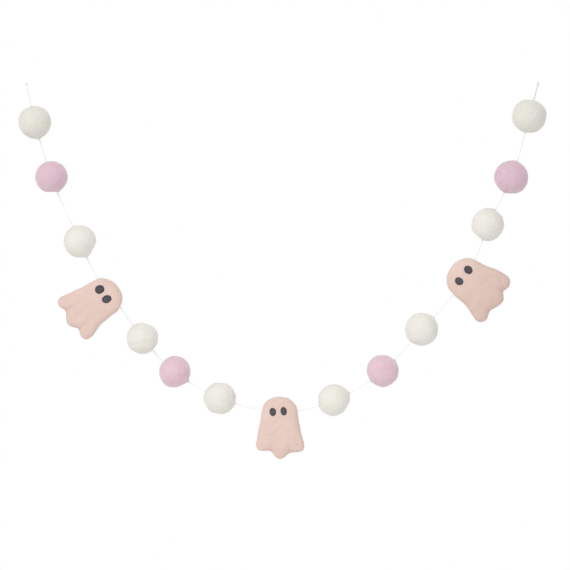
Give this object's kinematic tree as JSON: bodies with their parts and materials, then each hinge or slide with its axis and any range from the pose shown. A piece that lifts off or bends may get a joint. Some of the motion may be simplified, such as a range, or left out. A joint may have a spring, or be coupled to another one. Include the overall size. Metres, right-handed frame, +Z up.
{
  "type": "felt ball garland",
  "caption": "Garland of round wool felt balls and flat felt ghosts threaded on a thin white string, hanging in a curve from its knotted ends.",
  "frame": {"origin": "the left hanging end of the string, at the middle of its knot", "axes": "+X from the left hanging end to the right one, which is at the same height; +Z up; the balls and ghosts face -Y"},
  "size_m": [0.407, 0.0265, 0.2911],
  "materials": {
    "cream_felt": "matt hand rolled wool felt with short fuzz",
    "pink_felt": "matt hand rolled wool felt with short fuzz",
    "peach_felt": "matt thick wool felt with rounded edges and short fuzz",
    "charcoal_wool": "matt needled wool",
    "string": "thin twisted white string"
  },
  "bodies": {
    "root": {"string": "string", "left_end_knot": "string", "right_end_knot": "string", "cream_ball_1": "cream_felt", "cream_ball_2": "cream_felt", "cream_ball_3": "cream_felt", "cream_ball_4": "cream_felt", "cream_ball_5": "cream_felt", "cream_ball_6": "cream_felt", "cream_ball_7": "cream_felt", "cream_ball_8": "cream_felt", "pink_ball_1": "pink_felt", "pink_ball_2": "pink_felt", "pink_ball_3": "pink_felt", "pink_ball_4": "pink_felt", "ghost_left": "peach_felt", "ghost_middle": "peach_felt", "ghost_right": "peach_felt", "left_eye_of_ghost_left": "charcoal_wool", "right_eye_of_ghost_left": "charcoal_wool", "left_eye_of_ghost_middle": "charcoal_wool", "right_eye_of_ghost_middle": "charcoal_wool", "left_eye_of_ghost_right": "charcoal_wool", "right_eye_of_ghost_right": "charcoal_wool"}
  },
  "joints": []
}
